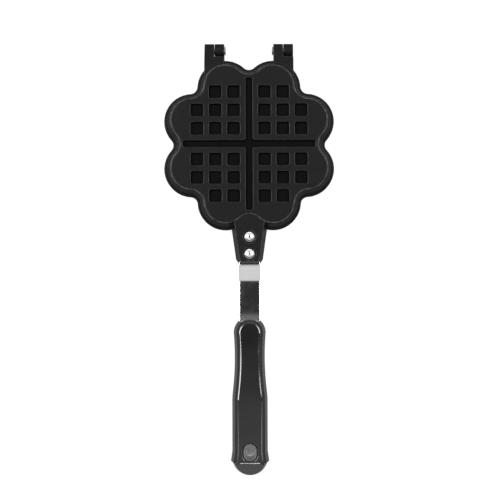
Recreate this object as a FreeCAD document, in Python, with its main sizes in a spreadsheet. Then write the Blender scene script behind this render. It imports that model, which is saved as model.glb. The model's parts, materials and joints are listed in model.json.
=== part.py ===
# Stovetop waffle iron that bakes a clover of four hearts.
# Two identical castings, one turned over, are hinged at the back. Each carries a riveted steel strip
# with a moulded half grip. Every half is drawn in its own frame: the parting plane is z = 0, the outer
# face is z = plate_depth, the hinge is at +Y and the handle runs towards -Y.
# In the assembly the lower casting's outer face lies on z = 0 and the plate's centre is on the Z axis.
import FreeCAD, Part
import math
import os

import Sketcher
from FreeCAD import Placement, Rotation, Vector

SIZES = {
    # plan of the plate
    "lobe_far": 46.3,
    "lobe_near": 19.3,
    "lobe_radius": 22.6,
    "notch_radius": 6.1,
    # section of the plate
    "plate_depth": 15.0,
    "parting_gap": 0.1,
    "flange_height": 4.0,
    "flange_ledge": 1.5,
    "flange_fillet": 1.0,
    "wall_draft": 17.0,
    "crown_fillet": 3.0,
    "floor_thickness": 5.0,
    "rim_land": 5.0,
    "cavity_draft": 10.0,
    # wells and channel outside, pegs and ridge inside
    "well_first": 12.4,
    "well_pitch": 14.7,
    "well_mouth": 9.8,
    "well_depth": 2.6,
    "well_draft": 8.0,
    "channel_width": 5.2,
    "channel_length": 106.0,
    "channel_depth": 2.6,
    "peg_root": 11.0,
    "peg_gap": 7.4,
    "peg_draft": 13.0,
    "ridge_root": 8.0,
    "ridge_gap": 1.5,
    # hinge
    "hinge_standoff": 8.6,
    "hinge_spread": 28.0,
    "lug_width": 16.0,
    "lug_step": 3.0,
    "lug_shoulder": 2.0,
    "knuckle_radius": 5.7,
    "knuckle_gap": 0.4,
    "barrel_clearance": 0.5,
    "pin_radius": 2.5,
    "pin_clearance": 0.05,
    "pin_play": 0.3,
    "pin_head_radius": 3.5,
    "pin_head_height": 0.8,
    "pin_chamfer": 0.4,
    # tab that carries the strip
    "tab_length": 28.4,
    "tab_root_width": 35.0,
    "tab_end_width": 22.0,
    "tab_tip_width": 16.0,
    "tab_corner_run": 4.6,
    "tab_draft": 12.0,
    "tab_step": 1.0,
    # rivets
    "rivet_setback": 8.9,
    "rivet_pitch": 13.7,
    "rivet_radius": 2.5,
    "rivet_clearance": 0.05,
    "rivet_head_radius": 4.5,
    "rivet_head_height": 2.0,
    "rivet_head_edge": 0.4,
    "rivet_stand": 0.5,
    "rivet_sink_clearance": 0.6,
    "rivet_tail_radius": 4.0,
    "rivet_tail_height": 1.5,
    # steel strip
    "strip_width": 16.5,
    "strip_thickness": 2.5,
    "strip_clearance": 0.2,
    "strip_inset": 4.9,
    "joggle_start": 0.2,
    "joggle_run": 12.0,
    "joggle_drop": 3.2,
    "bend_radius": 8.0,
    "tang_length": 50.0,
    "tang_recess": 0.5,
    # grip
    "neck_length": 41.5,
    "grip_length": 128.2,
    "grip_gap": 0.4,
    "grip_floor_gap": 1.0,
    "grip_draft": 12.0,
    "grip_fillet": 4.0,
    "front_radius": 13.0,
    "waist_inset": 0.8,
    "waist_radius": 230.0,
    "shoulder_radius": 70.0,
    "rear_swell": 1.35,
    "facet_length": 11.5,
    "facet_foot": 4.0,
    "collar_reach": 1.2,
    "collar_length": 8.5,
    "hole_width": 10.2,
    "hole_length": 13.5,
    "hole_margin": 1.8,
    "hole_chamfer": 1.3,
    # screws and threaded inserts in the grip
    "screw_first": 16.0,
    "screw_pitch": 24.0,
    "screw_radius": 2.0,
    "screw_length": 8.5,
    "screw_head_radius": 3.8,
    "screw_head_height": 1.6,
    "screw_clearance": 0.05,
    "insert_radius": 3.5,
    "insert_length": 7.0,
    "insert_clearance": 0.05,
}

doc = FreeCAD.newDocument("waffle_iron")
sheet = doc.addObject("Spreadsheet::Sheet", "size")
for row, (name, number) in enumerate(SIZES.items(), start=1):
    sheet.set(f"A{row}", name)
    sheet.set(f"B{row}", str(number))
    sheet.setAlias(f"B{row}", name)
doc.recompute()

# Lengths that follow from the sizes, written once as formulas on the sheet
LOBE_TIP = "(size.lobe_far + size.lobe_radius)"
NOTCH_CENTRE = "(size.lobe_far + sqrt((size.lobe_radius + size.notch_radius)^2 - size.lobe_near^2))"
NOTCH_POINT = f"({NOTCH_CENTRE} - size.notch_radius)"
CAVITY_FLOOR = "(size.plate_depth - size.floor_thickness)"
HINGE_Y = f"({LOBE_TIP} + size.hinge_standoff)"
LUG_OUTER = "(size.hinge_spread + size.lug_width / 2)"
TAB_END = f"({LOBE_TIP} + size.tab_length)"
TAB_TOP = "(size.plate_depth - size.tab_step)"
REAR_RIVET = f"({TAB_END} - size.rivet_setback)"
FRONT_RIVET = f"({REAR_RIVET} - size.rivet_pitch)"
RIVET_SEAT = f"({TAB_TOP} - size.rivet_head_height + size.rivet_stand)"
TANG_BOTTOM = "(size.grip_gap + size.tang_recess)"
TANG_TOP = f"({TANG_BOTTOM} + size.strip_thickness)"
STRIP_SEAT = f"({TANG_TOP} + size.joggle_drop)"
STRIP_START = f"({LOBE_TIP} - size.strip_inset)"
SLOT_HALF = "(size.strip_width / 2 + size.strip_clearance)"
GRIP_FRONT = f"({TAB_END} + size.neck_length)"
GRIP_END = f"({GRIP_FRONT} + size.grip_length)"
GRIP_TOP = "(size.plate_depth - size.grip_floor_gap)"
TANG_END = f"({GRIP_FRONT} + size.tang_length)"
REAR_HALF = "(size.front_radius + size.rear_swell)"
FACET_START = f"({GRIP_END} - size.facet_length)"
FRONT_SCREW = f"({GRIP_FRONT} + size.screw_first)"
REAR_SCREW = f"({FRONT_SCREW} + size.screw_pitch)"


def value(formula):
    """The present value of a formula, used to draw a sketch close to its solved form."""
    return float(sheet.evalExpression(formula))


def origin_feature(body, role):
    return next(item for item in body.Origin.OriginFeatures if item.Role == role)


def add_body(label):
    return doc.addObject("PartDesign::Body", label)


def add_sketch(body, name, role, lift="0", along="0"):
    """A sketch on one of the body's own planes, lifted along its normal and moved along its first axis."""
    sketch = body.newObject("Sketcher::SketchObject", f"{body.Label}_{name}")
    sketch.AttachmentSupport = (origin_feature(body, role), [""])
    sketch.MapMode = "FlatFace"
    sketch.setExpression("AttachmentOffset.Base.x", along)
    sketch.setExpression("AttachmentOffset.Base.z", lift)
    return sketch


def bind(sketch, formula, kind, *target):
    """Add a dimension to the sketch and bind it to the sheet."""
    index = sketch.addConstraint(Sketcher.Constraint(kind, *target, value(formula)))
    sketch.setExpression(f"Constraints[{index}]", formula)


def pin_point(sketch, geometry, point, across, up):
    """Tie one point of a sketch element to the sketch's origin."""
    if across == "0":
        sketch.addConstraint(Sketcher.Constraint("PointOnObject", geometry, point, -2))
    else:
        bind(sketch, across, "DistanceX", -1, 1, geometry, point)
    if up == "0":
        sketch.addConstraint(Sketcher.Constraint("PointOnObject", geometry, point, -1))
    else:
        bind(sketch, up, "DistanceY", -1, 1, geometry, point)


def add_line(sketch, start, end):
    return sketch.addGeometry(Part.LineSegment(start, end), False)


def add_arc(sketch, centre, radius, first, last):
    """A counter-clockwise arc between two points that lie on it."""
    begin = math.atan2(first.y - centre.y, first.x - centre.x)
    finish = math.atan2(last.y - centre.y, last.x - centre.x)
    if finish <= begin:
        finish += 2 * math.pi
    circle = Part.Circle(centre, Vector(0, 0, 1), radius)
    return sketch.addGeometry(Part.ArcOfCircle(circle, begin, finish), False)


def join(sketch, kind, *ends):
    sketch.addConstraint(Sketcher.Constraint(kind, *ends))


def draw_polygon(sketch, corners):
    """A closed outline through corners, each given by two formulas."""
    points = [Vector(value(across), value(up), 0) for across, up in corners]
    lines = [add_line(sketch, point, points[(i + 1) % len(points)]) for i, point in enumerate(points)]
    for i, line in enumerate(lines):
        join(sketch, "Coincident", line, 2, lines[(i + 1) % len(lines)], 1)
        pin_point(sketch, line, 1, *corners[i])


def draw_rectangle(sketch, left, bottom, right, top):
    draw_polygon(sketch, [(left, bottom), (right, bottom), (right, top), (left, top)])


def draw_circle(sketch, across, up, radius):
    centre = Vector(value(across), value(up), 0)
    circle = sketch.addGeometry(Part.Circle(centre, Vector(0, 0, 1), value(radius)), False)
    pin_point(sketch, circle, 3, across, up)
    bind(sketch, radius, "Radius", circle)


def draw_slot(sketch, up, half_span, radius):
    """A slot with round ends, centred on the sketch's second axis and standing along it."""
    centre = Vector(0, value(up), 0)
    step = Vector(0, value(half_span), 0)
    side = Vector(value(radius), 0, 0)
    far = add_arc(sketch, centre + step, value(radius), centre + step + side, centre + step - side)
    near = add_arc(sketch, centre - step, value(radius), centre - step - side, centre - step + side)
    left = add_line(sketch, centre + step - side, centre - step - side)
    right = add_line(sketch, centre - step + side, centre + step + side)
    loop = [far, left, near, right]
    for i, element in enumerate(loop):
        join(sketch, "Tangent", element, 2, loop[(i + 1) % 4], 1)
    join(sketch, "Equal", far, near)
    bind(sketch, radius, "Radius", far)
    for arc, sign in ((far, "+"), (near, "-")):
        pin_point(sketch, arc, 3, "0", f"{up} {sign} {half_span}")


def draw_clover(sketch, inset):
    """Eight lobes and eight notches, sixteen tangent arcs, moved inwards by inset."""
    lobe_radius = f"size.lobe_radius - ({inset})"
    notch_radius = f"size.notch_radius + ({inset})"
    far, near = "size.lobe_far", "size.lobe_near"
    spots = [
        (far, near),
        (near, far),
        (f"-{near}", far),
        (f"-{far}", near),
        (f"-{far}", f"-{near}"),
        (f"-{near}", f"-{far}"),
        (near, f"-{far}"),
        (far, f"-{near}"),
    ]
    centres = [Vector(value(across), value(up), 0) for across, up in spots]
    reach = value(lobe_radius) + value(notch_radius)
    hollows = []
    for i, centre in enumerate(centres):
        following = centres[(i + 1) % 8]
        middle = (centre + following) * 0.5
        outward = Vector(middle).normalize()
        hollows.append(middle + outward * math.sqrt(reach**2 - ((following - centre).Length / 2) ** 2))
    lobes = [
        add_arc(sketch, centre, value(lobe_radius), hollows[i - 1], hollows[i])
        for i, centre in enumerate(centres)
    ]
    notches = [
        add_arc(sketch, hollow, value(notch_radius), centres[(i + 1) % 8], centres[i])
        for i, hollow in enumerate(hollows)
    ]
    for i, (across, up) in enumerate(spots):
        join(sketch, "Tangent", lobes[i], 2, notches[i], 2)
        join(sketch, "Tangent", notches[i], 1, lobes[(i + 1) % 8], 1)
        pin_point(sketch, lobes[i], 3, across, up)
        bind(sketch, lobe_radius, "Radius", lobes[i])
        bind(sketch, notch_radius, "Radius", notches[i])


def draw_well_grid(sketch, width):
    """Eight squares in one quarter: three by three, without the outer corner."""
    for column in range(3):
        for line in range(3):
            if column + line == 4:
                continue
            left = f"size.well_first + {column} * size.well_pitch - {width} / 2"
            bottom = f"size.well_first + {line} * size.well_pitch - {width} / 2"
            draw_rectangle(sketch, left, bottom, f"{left} + {width}", f"{bottom} + {width}")


def extrude(body, kind, sketch, length, draft="0", upward=True, both_ways=False):
    """Pad or pocket a sketch along its normal (upward) or against it; a draft narrows the far end."""
    feature = body.newObject(f"PartDesign::{kind}", f"{sketch.Label}_{kind.lower()}")
    feature.Profile = sketch
    feature.setExpression("Length", length)
    feature.setExpression("TaperAngle", f"-({draft})")
    if both_ways:
        feature.SideType = "Symmetric"
    else:
        feature.Reversed = upward if kind == "Pocket" else not upward
    sketch.Visibility = False
    doc.recompute()
    return feature


def cut(body, sketch, length, **options):
    """A pocket that must take material away."""
    before = body.Shape.Volume
    feature = extrude(body, "Pocket", sketch, length, **options)
    if feature.Shape.Volume >= before:
        raise RuntimeError(f"{feature.Label} removes nothing")
    return feature


def repeat_around(body, originals, angle, count):
    pattern = body.newObject("PartDesign::PolarPattern", f"{originals[0].Label}_around")
    pattern.Originals = originals
    pattern.Axis = (origin_feature(body, "Z_Axis"), [""])
    pattern.Angle = angle
    pattern.Occurrences = count
    body.Tip = pattern
    doc.recompute()
    return pattern


def edges_at(feature, height, keep=lambda edge: True):
    """Names of the edges that lie in one horizontal plane of the body."""
    level = value(height)
    names = []
    for number, edge in enumerate(feature.Shape.Edges, start=1):
        box = edge.BoundBox
        if abs(box.ZMin - level) < 1e-5 and abs(box.ZMax - level) < 1e-5 and keep(edge):
            names.append(f"Edge{number}")
    return names


def dress(body, kind, name, feature, edges, size):
    """Round or chamfer the named edges of a feature."""
    dressing = body.newObject(f"PartDesign::{kind}", f"{body.Label}_{name}")
    dressing.Base = (feature, edges)
    dressing.setExpression("Radius" if kind == "Fillet" else "Size", size)
    doc.recompute()
    return dressing


def revolve(body, sketch, axis):
    feature = body.newObject("PartDesign::Revolution", f"{sketch.Label}_turned")
    feature.Profile = sketch
    feature.ReferenceAxis = (sketch, [axis])
    feature.Angle = 360
    sketch.Visibility = False
    doc.recompute()
    return feature


def build_hinge_lugs(body):
    """Two lugs of the same hand: a knuckle on the -X half, room for the other casting's on the +X half."""
    gap = "size.parting_gap"
    radius = "size.knuckle_radius"
    shoulder_along = f"{LOBE_TIP} - size.lug_shoulder"
    lug_top = "size.plate_depth - size.lug_step"
    shoulder = Vector(value(shoulder_along), value(lug_top), 0)
    axis = Vector(value(HINGE_Y), 0, 0)
    to_axis = axis - shoulder
    lean = math.acos(value(radius) / to_axis.Length)
    bearing = math.atan2(-to_axis.y, -to_axis.x) - lean
    touch = axis + Vector(math.cos(bearing), math.sin(bearing), 0) * value(radius)
    heel = Vector(axis.x - math.sqrt(value(radius) ** 2 - value(gap) ** 2), value(gap), 0)
    root = Vector(value("size.lobe_far"), value(gap), 0)
    crest = Vector(root.x, shoulder.y, 0)

    profile = add_sketch(body, "lug", "YZ_Plane", lift=f"-{LUG_OUTER}")
    back = add_line(profile, root, crest)
    top = add_line(profile, crest, shoulder)
    slope = add_line(profile, shoulder, touch)
    barrel = add_arc(profile, axis, value(radius), heel, touch)
    sole = add_line(profile, heel, root)
    join(profile, "Coincident", back, 2, top, 1)
    join(profile, "Coincident", top, 2, slope, 1)
    join(profile, "Tangent", slope, 2, barrel, 2)
    join(profile, "Coincident", barrel, 1, sole, 1)
    join(profile, "Coincident", sole, 2, back, 1)
    join(profile, "Horizontal", sole)
    pin_point(profile, back, 1, "size.lobe_far", gap)
    pin_point(profile, top, 1, "size.lobe_far", lug_top)
    pin_point(profile, slope, 1, shoulder_along, lug_top)
    pin_point(profile, barrel, 3, HINGE_Y, "0")
    bind(profile, radius, "Radius", barrel)
    lug = extrude(body, "Pad", profile, "size.lug_width")

    room = add_sketch(body, "knuckle_room", "YZ_Plane", lift="-size.hinge_spread - size.knuckle_gap / 2")
    draw_rectangle(
        room,
        f"{HINGE_Y} - {radius} - size.barrel_clearance",
        f"-2 * {radius}",
        f"{HINGE_Y} + 2 * {radius}",
        "size.plate_depth",
    )
    notch = cut(body, room, "size.lug_width / 2 + size.knuckle_gap")

    bore_circle = add_sketch(body, "bore", "YZ_Plane", lift=f"-{LUG_OUTER}")
    draw_circle(bore_circle, HINGE_Y, "0", "size.pin_radius + size.pin_clearance")
    bore = cut(body, bore_circle, "size.lug_width / 2")

    pair = body.newObject("PartDesign::LinearPattern", f"{body.Label}_lug_pair")
    pair.Originals = [lug, notch, bore]
    pair.Direction = (origin_feature(body, "X_Axis"), [""])
    pair.setExpression("Length", "2 * size.hinge_spread")
    pair.Occurrences = 2
    body.Tip = pair
    doc.recompute()


def build_tab(body):
    """Tapered tab that grows out of the notch opposite the hinge and carries the strip."""
    outline = add_sketch(body, "tab", "XY_Plane", lift="size.parting_gap")
    right_side = [
        ("size.tab_tip_width / 2", f"-{TAB_END}"),
        ("size.tab_end_width / 2", f"-{TAB_END} + size.tab_corner_run"),
        ("size.tab_root_width / 2", "-size.lobe_far"),
    ]
    left_side = [(f"-({across})", up) for across, up in reversed(right_side)]
    draw_polygon(outline, right_side + left_side)
    extrude(body, "Pad", outline, f"{TAB_TOP} - size.parting_gap", draft="size.tab_draft")


def open_tab(body):
    """The strip's slot and the rivet holes, cut once the cavity is in."""
    slot = add_sketch(body, "strip_slot", "XY_Plane")
    draw_rectangle(
        slot,
        f"-{SLOT_HALF}",
        f"-{TAB_END} - size.tab_corner_run",
        SLOT_HALF,
        f"-{STRIP_START} + size.strip_clearance",
    )
    cut(body, slot, STRIP_SEAT)
    holes = add_sketch(body, "rivet_holes", "XY_Plane")
    sinks = add_sketch(body, "rivet_sinks", "XY_Plane", lift=RIVET_SEAT)
    for place in (FRONT_RIVET, REAR_RIVET):
        draw_circle(holes, "0", f"-{place}", "size.rivet_radius + size.rivet_clearance")
        draw_circle(sinks, "0", f"-{place}", "size.rivet_head_radius + size.rivet_sink_clearance")
    cut(body, holes, "size.plate_depth")
    cut(body, sinks, "size.plate_depth")


def build_plate(body):
    """One casting: flange, drafted wall, rounded crown, lugs, tab, pegs inside and wells outside."""
    rim = add_sketch(body, "rim", "XY_Plane", lift="size.parting_gap")
    draw_clover(rim, "0")
    flange = extrude(body, "Pad", rim, "size.flange_height - size.parting_gap")
    flange_edge = edges_at(flange, "size.flange_height")
    dress(body, "Fillet", "flange_round", flange, flange_edge, "size.flange_fillet")
    foot = add_sketch(body, "wall", "XY_Plane", lift="size.flange_height")
    draw_clover(foot, "size.flange_ledge")
    wall = extrude(body, "Pad", foot, "size.plate_depth - size.flange_height", draft="size.wall_draft")
    dress(body, "Fillet", "crown_round", wall, edges_at(wall, "size.plate_depth"), "size.crown_fillet")
    build_tab(body)
    build_hinge_lugs(body)

    mouth = add_sketch(body, "cavity", "XY_Plane", lift="size.parting_gap")
    draw_clover(mouth, "size.rim_land")
    cut(body, mouth, f"{CAVITY_FLOOR} - size.parting_gap", draft="size.cavity_draft")
    open_tab(body)
    ridge = add_sketch(body, "ridge", "XY_Plane", lift=CAVITY_FLOOR)
    ridge_end = f"({NOTCH_POINT} - size.rim_land)"
    draw_rectangle(ridge, f"-{ridge_end}", "-size.ridge_root / 2", ridge_end, "size.ridge_root / 2")
    ridge_drop = f"{CAVITY_FLOOR} - size.ridge_gap"
    ridge_pad = extrude(body, "Pad", ridge, ridge_drop, draft="size.peg_draft", upward=False)
    repeat_around(body, [ridge_pad], 90, 2)
    channel = add_sketch(body, "channel", "XY_Plane", lift="size.plate_depth")
    half_length, half_width = "size.channel_length / 2", "size.channel_width / 2"
    draw_rectangle(channel, f"-{half_length}", f"-{half_width}", half_length, half_width)
    channel_cut = cut(body, channel, "size.channel_depth", draft="size.well_draft", upward=False)
    repeat_around(body, [channel_cut], 90, 2)
    pegs = add_sketch(body, "pegs", "XY_Plane", lift=CAVITY_FLOOR)
    draw_well_grid(pegs, "size.peg_root")
    peg_drop = f"{CAVITY_FLOOR} - size.peg_gap"
    peg_pad = extrude(body, "Pad", pegs, peg_drop, draft="size.peg_draft", upward=False)
    repeat_around(body, [peg_pad], 360, 4)
    wells = add_sketch(body, "wells", "XY_Plane", lift="size.plate_depth")
    draw_well_grid(wells, "size.well_mouth")
    well_cut = cut(body, wells, "size.well_depth", draft="size.well_draft", upward=False)
    repeat_around(body, [well_cut], 360, 4)


def build_rivet(body, place):
    """Domed head sunk in the tab, shank, and a flat tail under the strip."""
    tail_top = f"({STRIP_SEAT} - size.strip_thickness)"
    rim_up = f"{RIVET_SEAT} + size.rivet_head_edge"
    crown_up = f"{RIVET_SEAT} + size.rivet_head_height"
    corners = [
        ("0", f"{tail_top} - size.rivet_tail_height"),
        ("size.rivet_tail_radius", f"{tail_top} - size.rivet_tail_height"),
        ("size.rivet_tail_radius", tail_top),
        ("size.rivet_radius", tail_top),
        ("size.rivet_radius", RIVET_SEAT),
        ("size.rivet_head_radius", RIVET_SEAT),
        ("size.rivet_head_radius", rim_up),
    ]
    sketch = add_sketch(body, "section", "YZ_Plane", along=f"-{place}")
    points = [Vector(value(across), value(up), 0) for across, up in corners]
    crown = Vector(0, value(crown_up), 0)
    lines = [add_line(sketch, first, second) for first, second in zip(points, points[1:])]
    rise = crown.y - points[-1].y
    radius = (points[-1].x ** 2 + rise**2) / (2 * rise)
    dome = add_arc(sketch, Vector(0, crown.y - radius, 0), radius, points[-1], crown)
    spine = add_line(sketch, crown, points[0])
    for first, second in zip(lines, lines[1:]):
        join(sketch, "Coincident", first, 2, second, 1)
    join(sketch, "Coincident", lines[-1], 2, dome, 1)
    join(sketch, "Coincident", dome, 2, spine, 1)
    join(sketch, "Coincident", spine, 2, lines[0], 1)
    for line, corner in zip(lines, corners):
        pin_point(sketch, line, 1, *corner)
    pin_point(sketch, lines[-1], 2, *corners[-1])
    pin_point(sketch, spine, 1, "0", crown_up)
    join(sketch, "PointOnObject", dome, 3, -2)
    revolve(body, sketch, "V_Axis")


def build_strip(body):
    """Flat steel strip, swept along a path with one joggle down to the tang, then drilled."""
    high = f"({STRIP_SEAT} - size.strip_thickness / 2)"
    low = f"({TANG_TOP} - size.strip_thickness / 2)"
    bend_out = f"({TAB_END} + size.joggle_start)"
    bend_in = f"({bend_out} + size.joggle_run)"
    stations = [(STRIP_START, high), (bend_out, high), (bend_in, low), (TANG_END, low)]
    points = [Vector(-value(along), value(up), 0) for along, up in stations]
    radius = value("size.bend_radius")
    tilt = math.atan2(points[1].y - points[2].y, points[1].x - points[2].x)
    trim = radius * math.tan(tilt / 2)
    slant = (points[2] - points[1]).normalize()
    flat = Vector(-1, 0, 0)

    path = add_sketch(body, "path", "YZ_Plane")
    near = add_line(path, points[0], points[1] - flat * trim)
    drop = add_line(path, points[1] + slant * trim, points[2] - slant * trim)
    tang = add_line(path, points[2] + flat * trim, points[3])
    outer = points[1] - flat * trim - Vector(0, radius, 0)
    inner = points[2] + flat * trim + Vector(0, radius, 0)
    bend_one = add_arc(path, outer, radius, points[1] - flat * trim, points[1] + slant * trim)
    bend_two = add_arc(path, inner, radius, points[2] + flat * trim, points[2] - slant * trim)
    join(path, "Tangent", near, 2, bend_one, 1)
    join(path, "Tangent", bend_one, 2, drop, 1)
    join(path, "Tangent", drop, 2, bend_two, 2)
    join(path, "Tangent", bend_two, 1, tang, 1)
    join(path, "Horizontal", near)
    join(path, "Horizontal", tang)
    pin_point(path, near, 1, f"-{STRIP_START}", high)
    pin_point(path, tang, 2, f"-{TANG_END}", low)
    for bend in (bend_one, bend_two):
        bind(path, "size.bend_radius", "Radius", bend)
    lean = "atan(size.joggle_drop / size.joggle_run)"
    shift = f"size.bend_radius * tan({lean} / 2)"
    bind(path, f"-{bend_out} + {shift}", "DistanceX", -1, 1, bend_one, 3)
    bind(path, f"-{bend_in} - {shift}", "DistanceX", -1, 1, bend_two, 3)

    section = add_sketch(body, "section", "XZ_Plane", lift=STRIP_START)
    half = "size.strip_width / 2"
    draw_rectangle(section, f"-{half}", f"{STRIP_SEAT} - size.strip_thickness", half, STRIP_SEAT)
    doc.recompute()
    sweep = body.newObject("PartDesign::AdditivePipe", f"{body.Label}_sweep")
    sweep.Profile = section
    sweep.Spine = path
    doc.recompute()

    holes = add_sketch(body, "rivet_holes", "XY_Plane")
    for place in (FRONT_RIVET, REAR_RIVET):
        draw_circle(holes, "0", f"-{place}", "size.rivet_radius + size.rivet_clearance")
    cut(body, holes, "size.plate_depth")
    for name, place in (("front", FRONT_SCREW), ("rear", REAR_SCREW)):
        sink = add_sketch(body, f"{name}_sink", "YZ_Plane", along=f"-{place}")
        shank = "size.screw_radius + size.screw_clearance"
        wide = "size.screw_head_radius + size.screw_clearance"
        draw_polygon(
            sink,
            [
                ("0", f"{TANG_BOTTOM} - size.tang_recess"),
                (wide, f"{TANG_BOTTOM} - size.tang_recess"),
                (wide, TANG_BOTTOM),
                (shank, f"{TANG_BOTTOM} + size.screw_head_height"),
                (shank, f"{TANG_TOP} + size.tang_recess"),
                ("0", f"{TANG_TOP} + size.tang_recess"),
            ],
        )
        hole = body.newObject("PartDesign::Groove", f"{body.Label}_{name}_hole")
        hole.Profile = sink
        hole.ReferenceAxis = (sink, ["V_Axis"])
        hole.Angle = 360
        doc.recompute()


def draw_grip_outline(sketch):
    """Round front, slim waist, shoulder, straight rear and round end, all tangent."""
    waist_half = "(size.front_radius - size.waist_inset)"
    half = value(REAR_HALF)
    front = Vector(0, -value(f"{GRIP_FRONT} + size.front_radius"), 0)
    end = Vector(0, -value(f"{GRIP_END} - {REAR_HALF}"), 0)
    nose, waist, shoulder = (value(f"size.{name}_radius") for name in ("front", "waist", "shoulder"))
    waist_across = value(waist_half) + waist
    waist_up = front.y - math.sqrt((nose + waist) ** 2 - waist_across**2)
    shoulder_across = half - shoulder
    shoulder_up = waist_up - math.sqrt((waist + shoulder) ** 2 - (waist_across - shoulder_across) ** 2)

    def on_side(side):
        """Joints of one side, from the front to the end."""
        hollow = Vector(side * waist_across, waist_up, 0)
        swell = Vector(side * shoulder_across, shoulder_up, 0)
        first = front + (hollow - front) * (nose / (nose + waist))
        second = hollow + (swell - hollow) * (waist / (waist + shoulder))
        third = Vector(side * half, shoulder_up, 0)
        fourth = Vector(side * half, end.y, 0)
        return hollow, swell, first, second, third, fourth

    right, left = on_side(1), on_side(-1)
    front_arc = add_arc(sketch, front, nose, right[2], left[2])
    end_arc = add_arc(sketch, end, half, left[5], right[5])
    pin_point(sketch, front_arc, 3, "0", f"-{GRIP_FRONT} - size.front_radius")
    pin_point(sketch, end_arc, 3, "0", f"-{GRIP_END} + {REAR_HALF}")
    bind(sketch, "size.front_radius", "Radius", front_arc)
    for sign, side, near, away in (("", right, 1, 2), ("-", left, 2, 1)):
        hollow, swell, first, second, third, fourth = side
        around_waist = (first, second) if near == 1 else (second, first)
        around_swell = (third, second) if near == 1 else (second, third)
        waist_arc = add_arc(sketch, hollow, waist, *around_waist)
        swell_arc = add_arc(sketch, swell, shoulder, *around_swell)
        straight = add_line(sketch, third, fourth)
        join(sketch, "Tangent", front_arc, near, waist_arc, near)
        join(sketch, "Tangent", waist_arc, away, swell_arc, away)
        join(sketch, "Tangent", swell_arc, near, straight, 1)
        join(sketch, "Tangent", straight, 2, end_arc, away)
        join(sketch, "Vertical", straight)
        bind(sketch, "size.waist_radius", "Radius", waist_arc)
        bind(sketch, "size.shoulder_radius", "Radius", swell_arc)
        bind(sketch, f"{sign}({waist_half} + size.waist_radius)", "DistanceX", -1, 1, waist_arc, 3)
    bind(sketch, REAR_HALF, "Radius", end_arc)


def draw_collar_section(body, name, station, half_width):
    """Cross-section of the grip at one station: drafted sides and a flat top with round corners."""
    narrowing = f"({GRIP_TOP} - size.grip_gap) * tan(size.grip_draft)"
    trim = "size.grip_fillet * tan((90 - size.grip_draft) / 2)"
    flat_half = f"({half_width} - {narrowing} - {trim})"
    lean = math.radians(value("size.grip_draft"))
    foot = Vector(value(half_width), value("size.grip_gap"), 0)
    flat_end = Vector(value(flat_half), value(GRIP_TOP), 0)
    centre = flat_end - Vector(0, value("size.grip_fillet"), 0)
    side_end = centre + Vector(math.cos(lean), math.sin(lean), 0) * value("size.grip_fillet")

    def mirrored(point):
        return Vector(-point.x, point.y, 0)

    sketch = add_sketch(body, name, "XZ_Plane", lift=station)
    floor = add_line(sketch, mirrored(foot), foot)
    right = add_line(sketch, foot, side_end)
    right_round = add_arc(sketch, centre, value("size.grip_fillet"), side_end, flat_end)
    crest = add_line(sketch, flat_end, mirrored(flat_end))
    left_round = add_arc(
        sketch, mirrored(centre), value("size.grip_fillet"), mirrored(flat_end), mirrored(side_end)
    )
    left = add_line(sketch, mirrored(side_end), mirrored(foot))
    join(sketch, "Coincident", floor, 2, right, 1)
    join(sketch, "Tangent", right, 2, right_round, 1)
    join(sketch, "Tangent", right_round, 2, crest, 1)
    join(sketch, "Tangent", crest, 2, left_round, 1)
    join(sketch, "Tangent", left_round, 2, left, 1)
    join(sketch, "Coincident", left, 2, floor, 1)
    pin_point(sketch, floor, 1, f"-{half_width}", "size.grip_gap")
    pin_point(sketch, floor, 2, half_width, "size.grip_gap")
    pin_point(sketch, crest, 1, flat_half, GRIP_TOP)
    pin_point(sketch, crest, 2, f"-{flat_half}", GRIP_TOP)
    bind(sketch, "size.grip_fillet", "Radius", right_round)
    bind(sketch, "size.grip_fillet", "Radius", left_round)
    return sketch


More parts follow.
